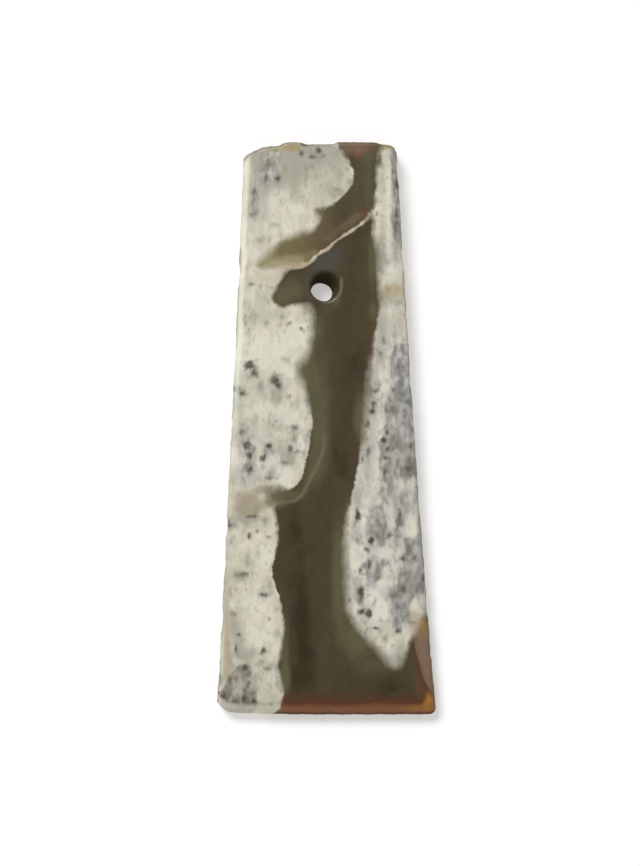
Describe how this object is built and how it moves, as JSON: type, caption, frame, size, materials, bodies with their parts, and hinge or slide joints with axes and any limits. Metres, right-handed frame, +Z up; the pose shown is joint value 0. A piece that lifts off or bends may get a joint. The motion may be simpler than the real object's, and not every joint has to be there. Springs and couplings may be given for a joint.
{
  "type": "jadeite axe head",
  "caption": "Flat tapering stone axe head of mottled green-grey and dark brown jadeite, with a bevelled cutting edge, worn butt and a slanting drilled lashing hole.",
  "frame": {"origin": "middle of the axe head's footprint on the ground, under its flat underside", "axes": "+Z up through the thickness, from the underside to the upper face; +Y along the length towards the butt; +X across the blade, to the right when seen from above with the butt at the top"},
  "size_m": [0.0688, 0.18, 0.008],
  "materials": {
    "mottled_stone": "old hand polish on mottled stone, pale grey-green and cream with a dark brown band and a thin russet cutting edge"
  },
  "bodies": {
    "root": {"axe_head": "mottled_stone"}
  },
  "joints": []
}
